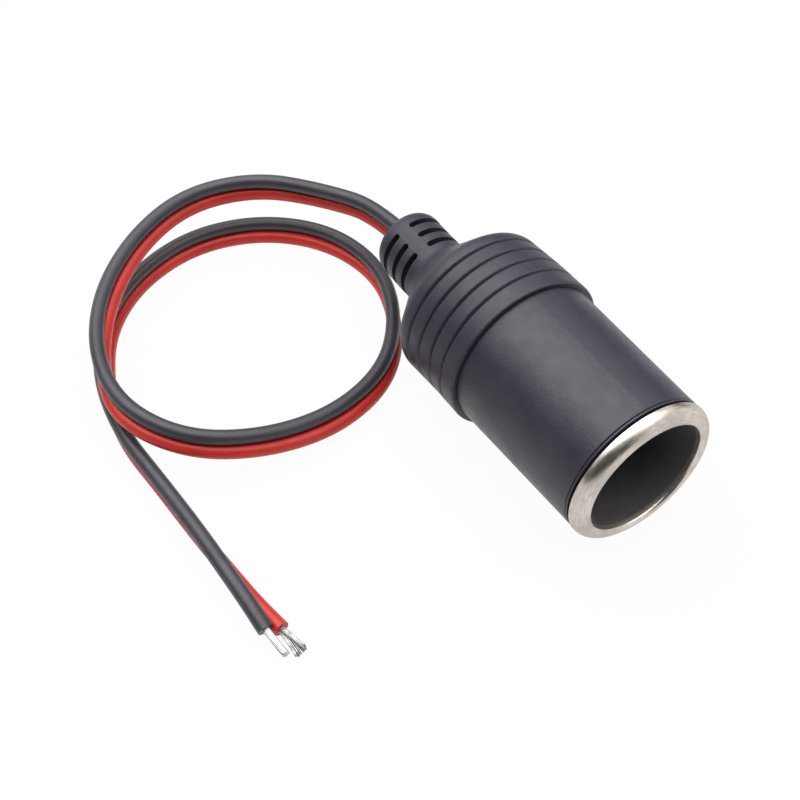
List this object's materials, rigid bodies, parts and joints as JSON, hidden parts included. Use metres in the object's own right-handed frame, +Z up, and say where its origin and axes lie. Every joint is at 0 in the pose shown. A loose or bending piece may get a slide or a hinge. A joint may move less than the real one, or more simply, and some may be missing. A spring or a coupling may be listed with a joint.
{
  "type": "car 12 v power socket",
  "caption": "In-line car power socket: round black barrel with a plated metal bore for a plug, grooved rear boot, slotted strain relief, and a looped red and black lead with bare ends.",
  "frame": {"origin": "on the floor, below the middle of the socket's length, as it lies on its collar; the lead is left out", "axes": "+X along the bore and out of the mouth, +Z up, +Y to the side away from the lead's loop"},
  "size_m": [0.1, 0.0756, 0.0293],
  "materials": {
    "barrel_plastic": "satin moulded, fine grain",
    "boot_rubber": "satin soft moulding",
    "plated_steel": "nickel plated, fine turned grain",
    "phenolic_board": "matte",
    "washer_fibre": "matte",
    "contact_brass": "bright",
    "solder": "dull",
    "black_pvc": "smooth extruded",
    "red_pvc": "smooth extruded",
    "tinned_copper": "tinned strands"
  },
  "bodies": {
    "root": {"front_barrel": "barrel_plastic", "rear_boot": "boot_rubber", "contact_sleeve": "plated_steel", "base_insulator": "phenolic_board", "fibre_washer": "washer_fibre", "centre_contact": "contact_brass", "positive_tag": "contact_brass", "negative_tag": "contact_brass", "positive_solder": "solder", "negative_solder": "solder", "black_insulation": "black_pvc", "red_insulation": "red_pvc", "black_conductor": "tinned_copper", "red_conductor": "tinned_copper"}
  },
  "joints": []
}
